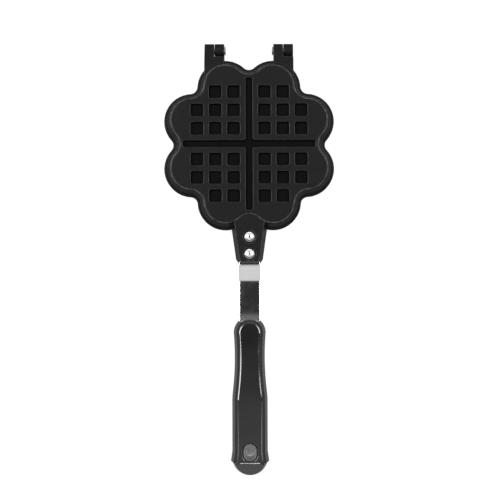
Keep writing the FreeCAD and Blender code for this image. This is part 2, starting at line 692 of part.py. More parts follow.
def build_grip(body):
    """Moulded half grip with a collar, a sloped end, a hanging hole and a groove for the tang."""
    outline = add_sketch(body, "outline", "XY_Plane", lift="size.grip_gap")
    draw_grip_outline(outline)
    shell = extrude(body, "Pad", outline, f"{GRIP_TOP} - size.grip_gap", draft="size.grip_draft")
    dress(body, "Fillet", "top_round", shell, edges_at(shell, GRIP_TOP), "size.grip_fillet")

    facet = add_sketch(body, "facet", "YZ_Plane")
    past = f"-{GRIP_END} - size.facet_length"
    above = f"{GRIP_TOP} + size.facet_length"
    draw_polygon(
        facet,
        [
            (f"-{FACET_START}", GRIP_TOP),
            (f"-{GRIP_END}", "size.facet_foot"),
            (past, "size.facet_foot"),
            (past, above),
            (f"-{FACET_START}", above),
        ],
    )
    cut(body, facet, f"4 * {REAR_HALF}", both_ways=True)

    root = draw_collar_section(body, "collar_root", f"{FACET_START} - size.collar_length", REAR_HALF)
    edge = draw_collar_section(body, "collar_edge", FACET_START, f"({REAR_HALF} + size.collar_reach)")
    collar = body.newObject("PartDesign::AdditiveLoft", f"{body.Label}_collar")
    collar.Profile = root
    collar.Sections = [edge]
    collar.Ruled = True
    doc.recompute()

    hole = add_sketch(body, "hole", "XY_Plane")
    hole_radius = "(size.hole_width / 2)"
    hole_middle = f"-{FACET_START} + size.hole_margin + size.hole_length / 2"
    draw_slot(hole, hole_middle, f"(size.hole_length / 2 - {hole_radius})", hole_radius)
    through = cut(body, hole, "size.plate_depth")
    rim_box = FreeCAD.BoundBox()
    rim_box.add(Vector(0, value(hole_middle), value(GRIP_TOP)))
    rim_box.enlarge(value("size.hole_length / 2"))
    mouth = edges_at(through, GRIP_TOP, lambda edge: rim_box.isInside(edge.BoundBox.Center))
    dress(body, "Chamfer", "hole_rim", through, mouth, "size.hole_chamfer")

    groove = add_sketch(body, "groove", "XY_Plane")
    draw_rectangle(
        groove,
        f"-{SLOT_HALF}",
        f"-{TANG_END} - size.strip_clearance",
        SLOT_HALF,
        f"-{GRIP_FRONT} + size.front_radius",
    )
    cut(body, groove, TANG_TOP)
    bores = add_sketch(body, "insert_bores", "XY_Plane", lift=TANG_TOP)
    for place in (FRONT_SCREW, REAR_SCREW):
        draw_circle(bores, "0", f"-{place}", "size.insert_radius + size.insert_clearance")
    cut(body, bores, "size.insert_length + size.insert_clearance")


def build_screw(body, place):
    """Countersunk screw, its flat head level with the tang."""
    sketch = add_sketch(body, "section", "YZ_Plane", along=f"-{place}")
    draw_polygon(
        sketch,
        [
            ("0", TANG_BOTTOM),
            ("size.screw_head_radius", TANG_BOTTOM),
            ("size.screw_radius", f"{TANG_BOTTOM} + size.screw_head_height"),
            ("size.screw_radius", f"{TANG_BOTTOM} + size.screw_length"),
            ("0", f"{TANG_BOTTOM} + size.screw_length"),
        ],
    )
    revolve(body, sketch, "V_Axis")


def build_insert(body, place):
    """Threaded bush moulded into the grip above the tang."""
    sketch = add_sketch(body, "section", "YZ_Plane", along=f"-{place}")
    bore = "size.screw_radius + size.screw_clearance"
    draw_rectangle(sketch, bore, TANG_TOP, "size.insert_radius", f"{TANG_TOP} + size.insert_length")
    revolve(body, sketch, "V_Axis")


def build_hinge_pin(body):
    """Pin along X, drawn about the lug's middle with its flat head towards the other lug."""
    sketch = add_sketch(body, "section", "XY_Plane")
    tail = "-size.lug_width / 2"
    seat = "size.lug_width / 2 + size.pin_play"
    draw_polygon(
        sketch,
        [
            (tail, "0"),
            (tail, "size.pin_radius - size.pin_chamfer"),
            (f"{tail} + size.pin_chamfer", "size.pin_radius"),
            (seat, "size.pin_radius"),
            (seat, "size.pin_head_radius"),
            (f"{seat} + size.pin_head_height - size.pin_chamfer", "size.pin_head_radius"),
            (f"{seat} + size.pin_head_height", "size.pin_head_radius - size.pin_chamfer"),
            (f"{seat} + size.pin_head_height", "0"),
        ],
    )
    revolve(body, sketch, "H_Axis")


def place_body(body, turn, across="0", along="0"):
    """Set a finished piece at its spot on the parting plane, turned by a rotation."""
    body.Placement = Placement(Vector(0, 0, 0), turn)
    body.setExpression("Placement.Base.x", across)
    body.setExpression("Placement.Base.y", along)
    body.setExpression("Placement.Base.z", "size.plate_depth")
    doc.recompute()
    return body


def copy_body(original, label):
    """A second piece from the same mould."""
    body = add_body(label)
    copy = body.newObject("PartDesign::FeatureBase", f"{label}_copy")
    copy.BaseFeature = original
    body.Tip = copy
    return body


builders = {
    "plate": (build_plate,),
    "strip": (build_strip,),
    "grip": (build_grip,),
    "front_rivet": (build_rivet, FRONT_RIVET),
    "rear_rivet": (build_rivet, REAR_RIVET),
    "front_screw": (build_screw, FRONT_SCREW),
    "rear_screw": (build_screw, REAR_SCREW),
    "front_insert": (build_insert, FRONT_SCREW),
    "rear_insert": (build_insert, REAR_SCREW),
}
turned_over = Rotation(Vector(0, 1, 0), 180)
pieces = []
for name, (builder, *places) in builders.items():
    upper = add_body(f"upper_{name}")
    builder(upper, *places)
    lower = copy_body(upper, f"lower_{name}")
    pieces.append(place_body(upper, Rotation()))
    pieces.append(place_body(lower, turned_over))
for side, across, turn in (
    ("left", "-size.hinge_spread", Rotation()),
    ("right", "size.hinge_spread", Rotation(Vector(0, 0, 1), 180)),
):
    body = add_body(f"{side}_hinge_pin")
    build_hinge_pin(body)
    pieces.append(place_body(body, turn, across, HINGE_Y))
doc.recompute()

for item in doc.Objects:
    if "Invalid" in item.State or "Error" in item.State:
        raise RuntimeError(f"{item.Label} did not rebuild: {item.State}")
for piece in pieces:
    if piece.Shape.isNull() or not piece.Shape.isValid() or len(piece.Shape.Solids) != 1:
        raise RuntimeError(f"{piece.Label} is not one sound solid")

os.makedirs("parts", exist_ok=True)
for piece in pieces:
    piece.Shape.exportStep(os.path.join("parts", f"{piece.Label}.step"))
    box = piece.Shape.optimalBoundingBox()
    print(
        f"{piece.Label}: {piece.Shape.Volume / 1000:.2f} cm3, x {box.XMin:.1f}..{box.XMax:.1f},"
        f" y {box.YMin:.1f}..{box.YMax:.1f}, z {box.ZMin:.1f}..{box.ZMax:.1f}"
    )
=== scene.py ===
# Stovetop waffle iron that bakes a clover of four hearts, lying closed on a pale floor.
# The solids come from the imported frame; each is given worked edges and its own finish here.
import json
import math
from functools import partial

import bmesh
import bpy
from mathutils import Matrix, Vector

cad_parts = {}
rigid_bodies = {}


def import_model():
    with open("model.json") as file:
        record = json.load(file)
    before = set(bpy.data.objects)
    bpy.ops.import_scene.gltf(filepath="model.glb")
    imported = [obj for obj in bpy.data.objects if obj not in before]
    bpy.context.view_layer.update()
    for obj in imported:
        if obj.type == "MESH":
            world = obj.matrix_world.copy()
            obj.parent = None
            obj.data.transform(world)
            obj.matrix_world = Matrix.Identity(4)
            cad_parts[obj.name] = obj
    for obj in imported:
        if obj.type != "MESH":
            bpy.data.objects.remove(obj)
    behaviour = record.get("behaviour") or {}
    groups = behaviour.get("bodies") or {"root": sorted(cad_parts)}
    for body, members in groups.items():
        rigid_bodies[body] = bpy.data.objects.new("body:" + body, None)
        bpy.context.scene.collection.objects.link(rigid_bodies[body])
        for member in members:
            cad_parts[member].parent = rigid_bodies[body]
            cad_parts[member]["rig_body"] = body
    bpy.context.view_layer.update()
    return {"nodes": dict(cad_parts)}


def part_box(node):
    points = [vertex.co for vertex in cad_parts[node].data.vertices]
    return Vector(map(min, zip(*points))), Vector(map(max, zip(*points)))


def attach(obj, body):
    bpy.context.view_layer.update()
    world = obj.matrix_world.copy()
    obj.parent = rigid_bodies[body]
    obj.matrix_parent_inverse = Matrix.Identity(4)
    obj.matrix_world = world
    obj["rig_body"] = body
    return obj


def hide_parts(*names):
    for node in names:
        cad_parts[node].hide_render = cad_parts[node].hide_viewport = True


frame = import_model()

# Cast plates
# Each half is one aluminium casting with its flange, wells, hinge lugs and handle tab. It is tumbled until
# no edge is sharp, then sprayed inside and out with a black non-stick coat that dries to a fine grain.
# The wells and the channel get a second material that is darker and quite matt; its darkness is painted
# shade. The rim round the top face, the mouths of the wells and the rounded edges are painted lighter,
# partly as wear and partly as a painted highlight.
MM = 0.001
LEAST_STEP = 0.002 * MM
FLAT_SLACK = 0.02 * MM
FLAT_TURN = 0.05
SHARP_TURN = 40
SMOOTH_TURN = 35
ROUND_PROFILE = 0.5
LARGE_FACES_FIRST = 100
HALVES = ("lower", "upper")
INWARD = {"lower": 1, "upper": -1}
OUTER_FACE = {"lower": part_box("lower_plate")[0].z, "upper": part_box("upper_plate")[1].z}
PARTING_PLANE = (OUTER_FACE["lower"] + OUTER_FACE["upper"]) / 2
GRID_FIRST = 12.4 * MM
GRID_PITCH = 14.7 * MM
HEART_PLACES = [(0, 0), (1, 0), (2, 0), (0, 1), (1, 1), (2, 1), (0, 2), (1, 2)]
WELL = {
    "half": 4.9 * MM,
    "corner": 1.3 * MM,
    "depth": 2.6 * MM,
    "draft": 8,
    "mouth_round": 0.9 * MM,
    "end_round": 0.7 * MM,
}
PEG = {
    "half": 5.5 * MM,
    "corner": 1.4 * MM,
    "depth": 2.6 * MM,
    "draft": 13,
    "mouth_round": 0.8 * MM,
    "end_round": 0.6 * MM,
}
CHANNEL = {"half_width": 2.6 * MM, "half_length": 53 * MM, "end_corner": 1.3 * MM, "post_corner": 2.0 * MM}
CAVITY_DEPTH = 10.0 * MM
CORNER_STEPS = 5
ROUND_STEPS = 4
MOUTH_RINGS = range(1, ROUND_STEPS)
END_RINGS = range(ROUND_STEPS + 2, 2 * ROUND_STEPS + 1)
CAST_EDGE = 0.45 * MM
CAST_EDGE_STEPS = 3
CAST_CREASE = 24
# The marked rings at the wells' mouths and the pegs' ends are painted lighter, partly wear and partly a
# painted highlight.
RING_WEAR_AND_HIGHLIGHT = 0.35
# Painted highlight: the rounded rim just below the top face is painted lighter between these heights.
RIM_HIGHLIGHT_FROM = 0.15 * MM
RIM_HIGHLIGHT_TO = 0.8 * MM
FLANGE_MARK_SHARE = 0.15
FLANGE_REACH = 4.5 * MM
COAT_SLOT = 0
WELL_SLOT = 1
# The painted shade begins at this ring down each well.
SHADE_FROM_RING = 2
COAT_DARK = (0.003, 0.003, 0.0032, 1)
COAT_LIGHT = (0.0046, 0.0046, 0.0048, 1)
# The lighter tone on rims and edges is partly wear and partly a painted highlight.
COAT_WORN_AND_HIGHLIT = (0.05, 0.05, 0.0505, 1)
COAT_SHEEN = 0.1
COAT_GLOSS = (0.3, 0.4)
COAT_GRAIN = {"mottle": 700.0, "pimple": 2600.0}
COAT_WEAR_AND_HIGHLIGHT = {"patches": 350.0, "amount": 0.8}
COAT_RELIEF = 0.012 * MM
# Painted shade: the wells and the channel are coloured darker than the top face, as if in shade.
WELL_SHADE_DARK = (0.0009, 0.0009, 0.001, 1)
WELL_SHADE_LIGHT = (0.0016, 0.0016, 0.0017, 1)
WELL_SHEEN = 0.03
WELL_GLOSS = (0.6, 0.75)
WELL_GRAIN = {"mottle": 450.0, "pimple": 1500.0}
WELL_RELIEF = 0.02 * MM


def lift_mesh(node):
    """A clean editable copy of a CAD node's mesh: split vertices joined, flat areas made whole."""
    shape = bmesh.new()
    shape.from_mesh(frame["nodes"][node].data)
    bmesh.ops.remove_doubles(shape, verts=shape.verts, dist=LEAST_STEP)
    flat_enough = math.radians(FLAT_TURN)
    bmesh.ops.dissolve_limit(shape, angle_limit=flat_enough, verts=shape.verts, edges=shape.edges)
    shape.verts.layers.float.new("lightened_mark")
    return shape


def turns(edge, least_turn):
    """Whether two faces meet at the edge and turn by more than least_turn degrees."""
    return edge.is_manifold and edge.calc_face_angle() > math.radians(least_turn)


def sharp_edges(shape, least_turn=SHARP_TURN):
    """The outward edges that turn by more than least_turn degrees."""
    return [edge for edge in shape.edges if turns(edge, least_turn) and edge.is_convex]


def round_edges(shape, edges, radius, steps, lightened_mark=1.0):
    """Round the edges, and mark the middle of each to be painted lighter, as wear and as a painted
    highlight.
    """
    rounded = bmesh.ops.bevel(
        shape,
        geom=edges,
        offset=radius,
        offset_type="OFFSET",
        segments=steps,
        profile=ROUND_PROFILE,
        affect="EDGES",
        clamp_overlap=False,
        miter_outer="ARC",
        loop_slide=False,
    )
    mark = shape.verts.layers.float["lightened_mark"]
    fresh = set(rounded["faces"])
    for vert in rounded["verts"]:
        if fresh.issuperset(vert.link_faces):
            vert[mark] = lightened_mark


def faces_at(shape, level):
    """The faces that lie flat at a height."""
    return {face for face in shape.faces if all(abs(vert.co.z - level) < FLAT_SLACK for vert in face.verts)}


def open_flat(shape, level, ends_at):
    """Take out a flat face and the wells or pegs in it, and hand back the edges of the opening."""
    flat = faces_at(shape, level)
    sunk = faces_at(shape, ends_at)
    growing = list(sunk)
    while growing:
        for edge in growing.pop().edges:
            for face in edge.link_faces:
                if face not in sunk and face not in flat:
                    sunk.add(face)
                    growing.append(face)
    bmesh.ops.delete(shape, geom=list(flat | sunk), context="FACES")
    return [edge for edge in shape.edges if edge.is_boundary]


def arc_points(x, y, radius, start, end):
    """Points on an arc from one angle to another, both ends included."""
    angles = [math.radians(start + (end - start) * step / CORNER_STEPS) for step in range(CORNER_STEPS + 1)]
    return [(x + radius * math.cos(angle), y + radius * math.sin(angle)) for angle in angles]


def square_ring(x, y, size, grow):
    """A square with rounded corners, grown or shrunk all round."""
    corner = size["corner"] + grow
    inner = size["half"] + grow - corner
    points = []
    for quarter, (side_x, side_y) in enumerate(((1, 1), (-1, 1), (-1, -1), (1, -1))):
        points += arc_points(x + side_x * inner, y + side_y * inner, corner, 90 * quarter, 90 * quarter + 90)
    return points


def cross_ring(size, grow):
    """The channel's cross, with rounded ends and rounded posts between its arms."""
    end, post = size["end_corner"] + grow, size["post_corner"] - grow
    width, length = size["half_width"] + grow, size["half_length"] + grow
    arm = arc_points(length - end, end - width, end, -90, 0)
    arm += arc_points(length - end, width - end, end, 0, 90)
    arm += arc_points(width + post, width + post, post, 270, 180)
    points = []
    for _ in range(4):
        points += arm
        arm = [(-y, x) for x, y in arm]
    return points


def turned_profile(size):
    """How far out and how deep each ring lies: over the mouth's round, down the flank, round the end."""
    lean = math.radians(size["draft"])
    turn = math.pi / 2 - lean
    pull = math.tan(turn / 2)
    foot = -size["depth"] * math.tan(lean)
    mouth, end = size["mouth_round"], size["end_round"]
    profile = []
    for step in range(ROUND_STEPS + 1):
        angle = turn * step / ROUND_STEPS
        profile.append((mouth * (pull - math.sin(angle)), mouth * (1 - math.cos(angle))))
    for step in range(ROUND_STEPS + 1):
        angle = lean + turn * step / ROUND_STEPS
        profile.append((foot + end * (math.cos(angle) - pull), size["depth"] + end * (math.sin(angle) - 1)))
    return profile


def stack_rings(shape, ring_at, size, level, inward, lightened_rings, slot):
    """Skin a well or a peg from its rings, close it with a flat and hand back its first ring's edges."""
    mark = shape.verts.layers.float["lightened_mark"]
    rings = []
    for grow, depth in turned_profile(size):
        rings.append([shape.verts.new((x, y, level + inward * depth)) for x, y in ring_at(grow)])
    for number in lightened_rings:
        for vert in rings[number]:
            vert[mark] = RING_WEAR_AND_HIGHLIGHT
    count = len(rings[0])
    for number, (outer, inner) in enumerate(zip(rings, rings[1:])):
        for i in range(count):
            face = shape.faces.new((outer[i - 1], outer[i], inner[i], inner[i - 1]))
            face.material_index = slot if number >= SHADE_FROM_RING else COAT_SLOT
    shape.faces.new(rings[-1]).material_index = slot
    return [shape.edges.get((rings[0][i - 1], rings[0][i])) for i in range(count)]


def set_in_flat(shape, rings, size, level, inward, lightened_rings, slot):
    """Open a flat face, skin the wells or the pegs into it, and close the face round them."""
    outline = open_flat(shape, level, level + inward * size["depth"])
    for ring_at in rings:
        outline += stack_rings(shape, ring_at, size, level, inward, lightened_rings, slot)
    bmesh.ops.triangle_fill(shape, edges=outline, use_beauty=True)


def grid_rings(size):
    """The rounded square of every well or peg in the four hearts, each still to be grown."""
    for across, up in HEART_PLACES:
        for side_x in (-1, 1):
            for side_y in (-1, 1):
                x = side_x * (GRID_FIRST + across * GRID_PITCH)
                y = side_y * (GRID_FIRST + up * GRID_PITCH)
                yield partial(square_ring, x, y, size)


def work_casting(shape, half):
    """Give a casting its wells and channel outside and its pegs inside, all with rounded rims and roots."""
    inward = INWARD[half]
    outside = OUTER_FACE[half]
    cavity_floor = PARTING_PLANE - inward * CAVITY_DEPTH
    mark = shape.verts.layers.float["lightened_mark"]
    # Painted highlight on the rounded rim of the top face.
    for vert in shape.verts:
        if RIM_HIGHLIGHT_FROM < abs(vert.co.z - outside) < RIM_HIGHLIGHT_TO:
            vert[mark] = 1.0
    hollows = [partial(cross_ring, CHANNEL), *grid_rings(WELL)]
    set_in_flat(shape, hollows, WELL, outside, inward, MOUTH_RINGS, WELL_SLOT)
    set_in_flat(shape, grid_rings(PEG), PEG, cavity_floor, inward, END_RINGS, COAT_SLOT)
    bmesh.ops.recalc_face_normals(shape, faces=shape.faces)
    round_edges(shape, sharp_edges(shape), CAST_EDGE, CAST_EDGE_STEPS)
    for vert in shape.verts:
        if abs(vert.co.z - PARTING_PLANE) < FLANGE_REACH:
            vert[mark] *= FLANGE_MARK_SHARE


def seat_piece(shape, node, *materials, crease=SMOOTH_TURN):
    """Turn a worked mesh into the piece that stands for its CAD node."""
    bmesh.ops.remove_doubles(shape, verts=shape.verts, dist=LEAST_STEP)
    bmesh.ops.dissolve_degenerate(shape, edges=shape.edges, dist=LEAST_STEP)
    mesh = bpy.data.meshes.new(f"{node}_finished")
    shape.to_mesh(mesh)
    shape.free()
    mesh.polygons.foreach_set("use_smooth", [True] * len(mesh.polygons))
    mesh.set_sharp_from_angle(angle=math.radians(crease))
    for material in materials:
        mesh.materials.append(material)
    piece = bpy.data.objects.new(f"{node}_finished", mesh)
    bpy.context.scene.collection.objects.link(piece)
    even = piece.modifiers.new("even_shading", "WEIGHTED_NORMAL")
    even.keep_sharp = True
    even.weight = LARGE_FACES_FIRST
    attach(piece, frame["nodes"][node]["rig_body"])
    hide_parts(node)
    return piece


def wire(tree, kind, feeds=None, **settings):
    """Add a shader node. Each feed is a plain value or another node's output."""
    node = tree.nodes.new(kind)
    for name, setting in settings.items():
        setattr(node, name, setting)
    for name, feed in (feeds or {}).items():
        if isinstance(feed, bpy.types.NodeSocket):
            tree.links.new(feed, node.inputs[name])
        else:
            node.inputs[name].default_value = feed
    return node


def reckon(tree, operation, first, second):
    """One sum on two values."""
    return wire(tree, "ShaderNodeMath", {0: first, 1: second}, operation=operation).outputs[0]


def spread(tree, mask, low, high, start=0.0, end=1.0):
    """Carry a mask from its own range over to the range low to high."""
    feeds = {"Value": mask, "From Min": start, "From Max": end, "To Min": low, "To Max": high}
    return wire(tree, "ShaderNodeMapRange", feeds).outputs["Result"]


def cloud(tree, scale, detail, band, low=0.0, distortion=0.0):
    """A cloudy mask that stays with the piece: a band of a noise, carried over to the range low to 1."""
    place = wire(tree, "ShaderNodeTexCoord")
    feeds = {"Vector": place.outputs["Object"], "Scale": scale, "Detail": detail, "Distortion": distortion}
    noise = wire(tree, "ShaderNodeTexNoise", feeds)
    return spread(tree, noise.outputs["Fac"], low, 1.0, *band)


def blend_tones(tree, mask, first, second):
    """A colour that goes from first to second as the mask goes from 0 to 1."""
    return wire(tree, "ShaderNodeMix", {0: mask, 6: first, 7: second}, data_type="RGBA").outputs[2]


def start_material(name):
    """An empty material, its node tree and its shader."""
    material = bpy.data.materials.new(name)
    material.use_nodes = True
    return material, material.node_tree, material.node_tree.nodes["Principled BSDF"]


def start_group(name, takes, gives):
    """An empty shader group with number sockets, its input node and its output node."""
    group = bpy.data.node_groups.new(name, "ShaderNodeTree")
    for socket, default in takes.items():
        made = group.interface.new_socket(socket, in_out="INPUT", socket_type="NodeSocketFloat")
        made.default_value = default
    for socket in gives:
        group.interface.new_socket(socket, in_out="OUTPUT", socket_type="NodeSocketFloat")
    return group, group.nodes.new("NodeGroupInput"), group.nodes.new("NodeGroupOutput")


def place_group(tree, group, **values):
    """Place a shader group in a material with its own values."""
    node = tree.nodes.new("ShaderNodeGroup")
    node.node_tree = group
    for name, number in values.items():
        node.inputs[name].default_value = number
    return node


def finish_shader(tree, shader, tone, gloss, height, depth):
    """Feed a shader its colour, its roughness and a fine relief of the given depth."""
    tree.links.new(tone, shader.inputs["Base Color"])
    tree.links.new(gloss, shader.inputs["Roughness"])
    relief = wire(tree, "ShaderNodeBump", {"Height": height, "Distance": depth, "Strength": 1.0})
    tree.links.new(relief.outputs["Normal"], shader.inputs["Normal"])


# Wear and painted highlight on rounded edges, broken up by patches
WEAR_AND_HIGHLIGHT_TAKES = {"patches": 400.0, "least": 0.35, "amount": 1.0}
WEAR_AND_HIGHLIGHT_DETAIL = 3.0
WEAR_AND_HIGHLIGHT_BAND = (0.4, 0.6)
edge_wear, takes, gives = start_group("edge wear", WEAR_AND_HIGHLIGHT_TAKES, ["wear"])
mark = wire(edge_wear, "ShaderNodeAttribute", attribute_name="lightened_mark")
broken = cloud(edge_wear, takes.outputs["patches"], WEAR_AND_HIGHLIGHT_DETAIL, WEAR_AND_HIGHLIGHT_BAND, low=takes.outputs["least"])
marked_in_patches = reckon(edge_wear, "MULTIPLY", mark.outputs["Fac"], broken)
scaled = reckon(edge_wear, "MULTIPLY", marked_in_patches, takes.outputs["amount"])
edge_wear.links.new(scaled, gives.inputs["wear"])

# Grain of a sprayed or moulded skin: a coarse mottle and a fine pimple
GRAIN_TAKES = {"mottle": 600.0, "pimple": 2400.0}
GRAIN_DETAIL = {"mottle": 4.0, "pimple": 2.0}
GRAIN_BAND = (0.3, 0.7)
skin_grain, takes, gives = start_group("skin grain", GRAIN_TAKES, list(GRAIN_DETAIL))
for size, detail in GRAIN_DETAIL.items():
    grained = cloud(skin_grain, takes.outputs[size], detail, GRAIN_BAND)
    skin_grain.links.new(grained, gives.inputs[size])

coat, tree, shader = start_material("sprayed_coat")
shader.inputs["Specular IOR Level"].default_value = COAT_SHEEN
grain = place_group(tree, skin_grain, **COAT_GRAIN)
wear = place_group(tree, edge_wear, **COAT_WEAR_AND_HIGHLIGHT)
sprayed = blend_tones(tree, grain.outputs["mottle"], COAT_DARK, COAT_LIGHT)
# Rims and edges painted lighter: partly wear, partly a painted highlight.
worn_and_highlit_tone = blend_tones(tree, wear.outputs["wear"], sprayed, COAT_WORN_AND_HIGHLIT)
gloss = spread(tree, grain.outputs["mottle"], *COAT_GLOSS)
finish_shader(tree, shader, worn_and_highlit_tone, gloss, grain.outputs["pimple"], COAT_RELIEF)

# Painted shade for the wells and the channel, with a lower sheen and a rougher skin.
well_shade_coat, tree, shader = start_material("painted_shade_in_wells")
shader.inputs["Specular IOR Level"].default_value = WELL_SHEEN
grain = place_group(tree, skin_grain, **WELL_GRAIN)
shaded_in_wells = blend_tones(tree, grain.outputs["mottle"], WELL_SHADE_DARK, WELL_SHADE_LIGHT)
gloss = spread(tree, grain.outputs["mottle"], *WELL_GLOSS)
finish_shader(tree, shader, shaded_in_wells, gloss, grain.outputs["pimple"], WELL_RELIEF)

for half in HALVES:
    casting = lift_mesh(f"{half}_plate")
    work_casting(casting, half)
    seat_piece(casting, f"{half}_plate", coat, well_shade_coat, crease=CAST_CREASE)

# Hinge pins
# A turned steel pin with a flat head joins the knuckles on each side. It is pressed in from outside and
# stays as it came from the lathe, with fine rings round it.
PIN_BRIGHT = (0.58, 0.58, 0.59, 1)
PIN_DULL = (0.4, 0.4, 0.41, 1)
PIN_GLOSS = (0.26, 0.36)
PIN_LINES = 7000.0
PIN_RELIEF = 0.006 * MM

# Lines that a tool leaves: long streaks across one measure of the surface
LINE_TAKES = {"across": 0.0, "along": 0.0, "fineness": 9000.0}
LINE_DETAIL = 3.0
LINE_BAND = (0.3, 0.7)
BREAKS_ALONG = 90.0
tool_lines, takes, gives = start_group("tool lines", LINE_TAKES, ["line"])
fine = reckon(tool_lines, "MULTIPLY", takes.outputs["across"], takes.outputs["fineness"])
coarse = reckon(tool_lines, "MULTIPLY", takes.outputs["along"], BREAKS_ALONG)
place = wire(tool_lines, "ShaderNodeCombineXYZ", {"X": fine, "Y": coarse})
streak_feeds = {"Vector": place.outputs[0], "Scale": 1.0, "Detail": LINE_DETAIL}
streak = wire(tool_lines, "ShaderNodeTexNoise", streak_feeds)
line = spread(tool_lines, streak.outputs["Fac"], 0.0, 1.0, *LINE_BAND)
tool_lines.links.new(line, gives.inputs["line"])


def place_lines(tree, fineness, across, along=None):
    """Lines a tool left, fine across one measure of the surface and, where given, broken along another."""
    lines = place_group(tree, tool_lines, fineness=fineness)
    tree.links.new(across, lines.inputs["across"])
    if along:
        tree.links.new(along, lines.inputs["along"])
    return lines.outputs["line"]


def axes_of_piece(tree):
    """The surface's place along each of the piece's own axes."""
    place = wire(tree, "ShaderNodeTexCoord")
    return wire(tree, "ShaderNodeSeparateXYZ", {0: place.outputs["Object"]}).outputs


def start_metal(name):
    """A material of bare metal, its node tree and its shader."""
    material, tree, shader = start_material(name)
    shader.inputs["Metallic"].default_value = 1
    return material, tree, shader


turned_pin, tree, shader = start_metal("turned_pin")
line = place_lines(tree, PIN_LINES, axes_of_piece(tree)["X"])
turned = blend_tones(tree, line, PIN_DULL, PIN_BRIGHT)
finish_shader(tree, shader, turned, spread(tree, line, *PIN_GLOSS), line, PIN_RELIEF)
for side in ("left", "right"):
    frame["nodes"][f"{side}_hinge_pin"].data.materials[0] = turned_pin

# Handle strips
# A flat steel bar, sheared, joggled in a press and polished along its length. It is riveted under the tab of
# the casting, and its tang is let into the half grip. The polishing wheel can't reach close to the grip, so
# a hazy band is left there.
STRIP_EDGE = 0.35 * MM
STRIP_EDGE_STEPS = 3
STRIP_BRIGHT = (0.68, 0.68, 0.685, 1)
STRIP_DULL = (0.58, 0.58, 0.585, 1)
STRIP_GLOSS = (0.09, 0.15)
STRIP_LINES = 9000.0
STRIP_SMUDGES = 60.0
STRIP_RELIEF = 0.0015 * MM
GRIP_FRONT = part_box("upper_grip")[1].y
HAZE_FROM = GRIP_FRONT + 4.95 * MM
HAZE_TO = GRIP_FRONT + 0.95 * MM
HAZE_GLOSS = (0.14, 0.205)
FLECKS = {"Scale": 900.0, "Detail": 2.0}
FLECK_BAND = (0.35, 0.65)
TANG_FROM = GRIP_FRONT - 1 * MM
TANG_TO = GRIP_FRONT - 2 * MM
TANG_GLOSS = 0.12

# Smudges that hands leave on a polished surface
SMUDGE_TAKES = {"size": 45.0}
SMUDGE_DETAIL = 4.0
SMUDGE_BAND = (0.45, 0.7)
SMUDGE_SMEAR = 0.6
hand_smudges, takes, gives = start_group("hand smudges", SMUDGE_TAKES, ["haze"])
blotch = cloud(hand_smudges, takes.outputs["size"], SMUDGE_DETAIL, SMUDGE_BAND, distortion=SMUDGE_SMEAR)
hand_smudges.links.new(blotch, gives.inputs["haze"])


def smudged_gloss(tree, size, gloss):
    """A roughness that goes up where hands have smudged the surface."""
    smudge = place_group(tree, hand_smudges, size=size)
    return spread(tree, smudge.outputs["haze"], *gloss)


def blend_gloss(tree, mask, first, second):
    """A roughness that goes from first to second as the mask goes from 0 to 1."""
    return wire(tree, "ShaderNodeMix", {0: mask, 2: first, 3: second}).outputs[0]


polished, tree, shader = start_metal("polished_strip")
axes = axes_of_piece(tree)
line = place_lines(tree, STRIP_LINES, axes["X"], axes["Y"])
hazed = smudged_gloss(tree, STRIP_SMUDGES, STRIP_GLOSS)
fleck = wire(tree, "ShaderNodeTexNoise", FLECKS)
flecked = spread(tree, fleck.outputs["Fac"], *HAZE_GLOSS, *FLECK_BAND)
near_grip = spread(tree, axes["Y"], 0.0, 1.0, HAZE_FROM, HAZE_TO)
inside_grip = spread(tree, axes["Y"], 0.0, 1.0, TANG_FROM, TANG_TO)
outside_gloss = blend_gloss(tree, near_grip, hazed, flecked)
gloss = blend_gloss(tree, inside_grip, outside_gloss, TANG_GLOSS)
finish_shader(tree, shader, blend_tones(tree, line, STRIP_DULL, STRIP_BRIGHT), gloss, line, STRIP_RELIEF)
for half in HALVES:
    strip = lift_mesh(f"{half}_strip")
    round_edges(strip, sharp_edges(strip), STRIP_EDGE, STRIP_EDGE_STEPS)
    seat_piece(strip, f"{half}_strip", polished)

# Rivets
# A solid aluminium rivet with a domed head, sunk in a spot-faced hole of the tab and closed under the strip.
# The setting tool spins on the head and leaves it bright, with fine rings and a dull spot in the middle.
SPOTS = ("front", "rear")
RIVET_EDGE = 0.15 * MM
RIVET_EDGE_STEPS = 2
RIVET_BRIGHT = (0.9, 0.9, 0.905, 1)
RIVET_DULL = (0.72, 0.72, 0.725, 1)
RIVET_GLOSS = (0.1, 0.15)
RIVET_LINES = 5000.0
RIVET_SMUDGES = 300.0
RIVET_RELIEF = 0.0012 * MM
STAMP_INNER = 0.6 * MM
STAMP_OUTER = 1.6 * MM
STAMP_GLOSS = 0.16


def mark_radius(shape, node):
    """Note every vertex's distance from the upright axis of a turned piece."""
    low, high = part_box(node)
    centre = (low + high) / 2
    radius = shape.verts.layers.float.new("radius")
    for vert in shape.verts:
        vert[radius] = (vert.co - centre).xy.length


def marked_radius(tree):
    """The distance that mark_radius noted, as a value in a material."""
    return wire(tree, "ShaderNodeAttribute", attribute_name="radius").outputs["Fac"]


